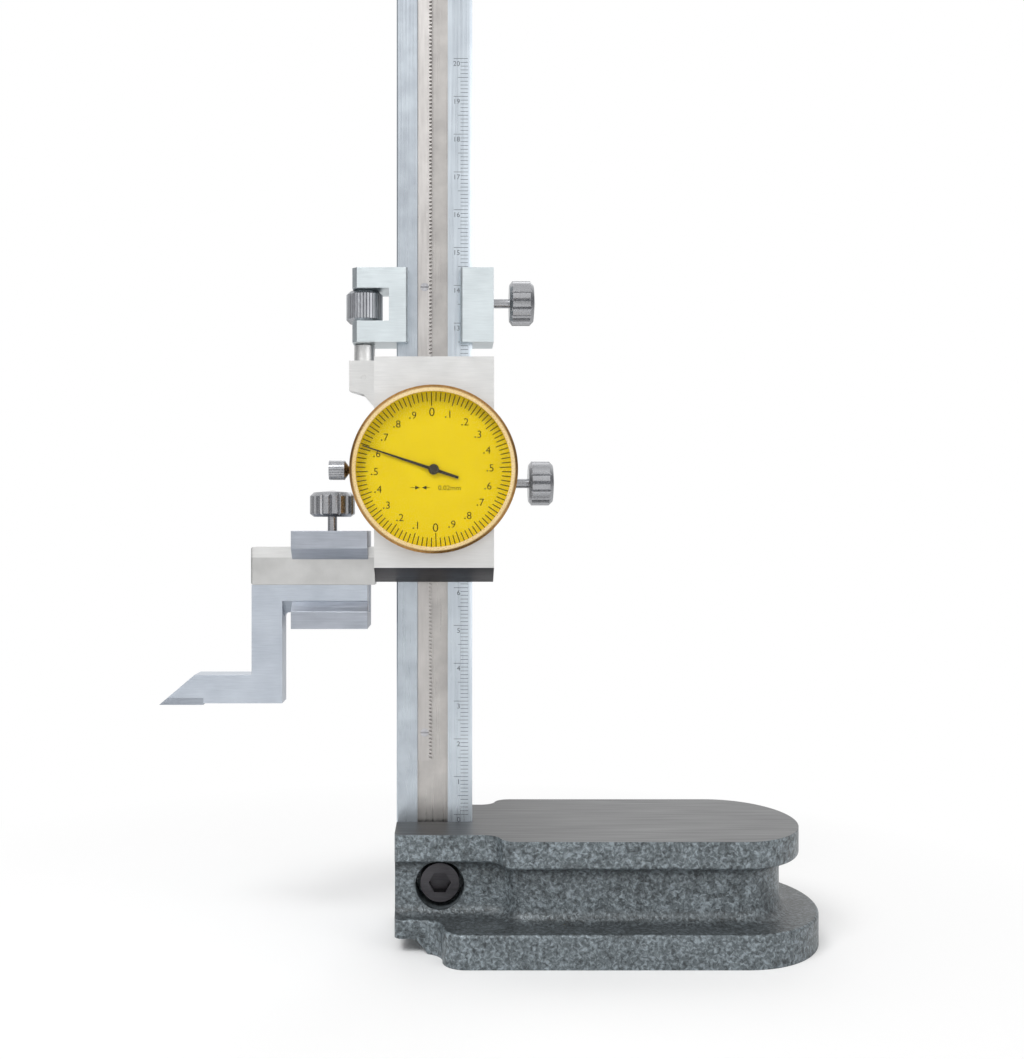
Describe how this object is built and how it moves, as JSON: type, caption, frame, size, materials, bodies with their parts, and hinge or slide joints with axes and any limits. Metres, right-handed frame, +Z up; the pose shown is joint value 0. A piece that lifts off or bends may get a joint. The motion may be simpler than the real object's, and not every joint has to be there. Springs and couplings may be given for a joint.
{
  "type": "height gauge",
  "caption": "Dial height gauge: iron base, steel beam with a rack, dial slider with fine-adjust carriage and clamped scriber.",
  "frame": {"origin": "on the base's datum face, on the beam's middle plane and under the middle of its width", "axes": "+X along the base towards its rounded end, -Y towards the dial and the reader, +Z up the beam"},
  "size_m": [0.1727, 0.059, 0.3221],
  "materials": {
    "cast_paint": "hammered paint, ground top and underside",
    "ground_steel": "ground, satin",
    "beam_steel": "satin chrome",
    "rack_steel": "milled",
    "dark_steel": "blackened",
    "scriber_steel": "ground, bluish satin",
    "carbide": "ground carbide",
    "knob_chrome": "dark chrome",
    "screw_steel": "turned",
    "bezel_brass": "turned and knurled",
    "brass": "turned",
    "dial_yellow": "satin yellow",
    "needle_black": "satin black",
    "crystal": "clear"
  },
  "bodies": {
    "base": {"base_casting": "cast_paint", "beam_clamp_screw": "dark_steel", "beam": "beam_steel", "rack": "rack_steel", "rack_screws": "screw_steel"},
    "slider": {"slider_frame": "ground_steel", "index_plate": "dark_steel", "index_dowels": "screw_steel", "back_plate": "ground_steel", "back_plate_screws": "dark_steel", "gib": "brass", "gib_set_screws": "dark_steel", "dial_case": "brass", "case_screws": "screw_steel", "retaining_ring": "screw_steel", "bridge": "brass", "pillars": "brass", "bridge_screws": "screw_steel", "arbor_bushes": "brass", "adjusting_screw": "screw_steel", "ear_pin": "screw_steel"},
    "rack_pinion_arbor": {"rack_pinion": "screw_steel", "main_wheel": "brass", "anti_backlash_wheel": "brass"},
    "needle_arbor": {"centre_pinion": "screw_steel", "needle": "needle_black", "needle_boss": "brass"},
    "bezel": {"bezel": "bezel_brass", "crystal": "crystal", "dial_plate": "dial_yellow"},
    "bezel_lock_pad": {"bezel_lock_pad": "brass"},
    "bezel_lock_screw": {"bezel_lock_screw": "knob_chrome"},
    "slider_clamp_pad": {"slider_clamp_pad": "brass"},
    "slider_clamp_screw": {"slider_clamp_screw": "knob_chrome"},
    "carriage": {"carriage_frame": "ground_steel"},
    "fine_adjust_nut": {"fine_adjust_nut": "dark_steel"},
    "carriage_clamp_pad": {"carriage_clamp_pad": "brass"},
    "carriage_clamp_screw": {"carriage_clamp_screw": "knob_chrome"},
    "scriber_clamp": {"scriber_clamp": "scriber_steel"},
    "scriber_clamp_pad": {"scriber_clamp_pad": "brass"},
    "scriber_clamp_screw": {"scriber_clamp_screw": "knob_chrome"},
    "scriber": {"scriber": "scriber_steel", "carbide_tip": "carbide"}
  },
  "joints": [
    {"name": "slider_slide", "type": "slide", "parent": "base", "child": "slider", "axis": [0, 0, 1], "range_m": [-0.0615, 0.1384]},
    {"name": "rack_pinion_turn", "type": "hinge", "parent": "slider", "child": "rack_pinion_arbor", "pos_m": [0.00062, -0.006, 0.1165], "axis": [0, 1, 0], "range_deg": [-4984, 2216]},
    {"name": "needle_turn", "type": "hinge", "parent": "slider", "child": "needle_arbor", "pos_m": [0, -0.017, 0.1225], "axis": [0, 1, 0], "range_deg": [-11074, 24916]},
    {"name": "bezel_turn", "type": "hinge", "parent": "slider", "child": "bezel", "pos_m": [0, -0.017, 0.1225], "axis": [0, 1, 0], "continuous": true},
    {"name": "slider_clamp_advance", "type": "slide", "parent": "slider", "child": "slider_clamp_pad", "axis": [1, 0, 0], "range_m": [0, 0.0005]},
    {"name": "slider_clamp_turn", "type": "hinge", "parent": "slider_clamp_pad", "child": "slider_clamp_screw", "pos_m": [0.02, 0, 0.1196], "axis": [1, 0, 0], "range_deg": [0, 360]},
    {"name": "bezel_lock_advance", "type": "slide", "parent": "slider", "child": "bezel_lock_pad", "axis": [-1, 0, 0], "range_m": [0, 0.00035]},
    {"name": "bezel_lock_turn", "type": "hinge", "parent": "bezel_lock_pad", "child": "bezel_lock_screw", "pos_m": [-0.022, -0.0134, 0.1225], "axis": [-1, 0, 0], "range_deg": [0, 360]},
    {"name": "carriage_slide", "type": "slide", "parent": "slider", "child": "carriage", "axis": [0, 0, 1], "range_m": [0, 0.005]},
    {"name": "fine_adjust_turn", "type": "hinge", "parent": "carriage", "child": "fine_adjust_nut", "pos_m": [-0.0187, 0, 0.1664], "axis": [0, 0, 1], "range_deg": [0, 3600]},
    {"name": "carriage_clamp_advance", "type": "slide", "parent": "carriage", "child": "carriage_clamp_pad", "axis": [1, 0, 0], "range_m": [0, 0.0005]},
    {"name": "carriage_clamp_turn", "type": "hinge", "parent": "carriage_clamp_pad", "child": "carriage_clamp_screw", "pos_m": [0.015, 0, 0.1676], "axis": [1, 0, 0], "range_deg": [0, 360]},
    {"name": "scriber_clamp_slide", "type": "slide", "parent": "slider", "child": "scriber_clamp", "axis": [1, 0, 0], "range_m": [-0.0105, 0.0012]},
    {"name": "scriber_clamp_advance", "type": "slide", "parent": "scriber_clamp", "child": "scriber_clamp_pad", "axis": [0, 0, 1], "range_m": [0, 0.0005]},
    {"name": "scriber_clamp_turn", "type": "hinge", "parent": "scriber_clamp_pad", "child": "scriber_clamp_screw", "pos_m": [-0.0269, -0.004, 0.109], "axis": [0, 0, 1], "range_deg": [0, 360]},
    {"name": "scriber_slide", "type": "slide", "parent": "scriber_clamp", "child": "scriber", "axis": [1, 0, 0], "range_m": [-0.01, 0.0012]}
  ],
  "couplings": [
    {"joint": "rack_pinion_turn", "follows": "slider_slide", "rad_per_m": -628.32},
    {"joint": "needle_turn", "follows": "slider_slide", "rad_per_m": 3141.6},
    {"joint": "slider_clamp_turn", "follows": "slider_clamp_advance", "rad_per_m": 12565},
    {"joint": "bezel_lock_turn", "follows": "bezel_lock_advance", "rad_per_m": 17950},
    {"joint": "fine_adjust_turn", "follows": "carriage_slide", "rad_per_m": 12565},
    {"joint": "carriage_clamp_turn", "follows": "carriage_clamp_advance", "rad_per_m": 12565},
    {"joint": "scriber_clamp_turn", "follows": "scriber_clamp_advance", "rad_per_m": 12565}
  ]
}
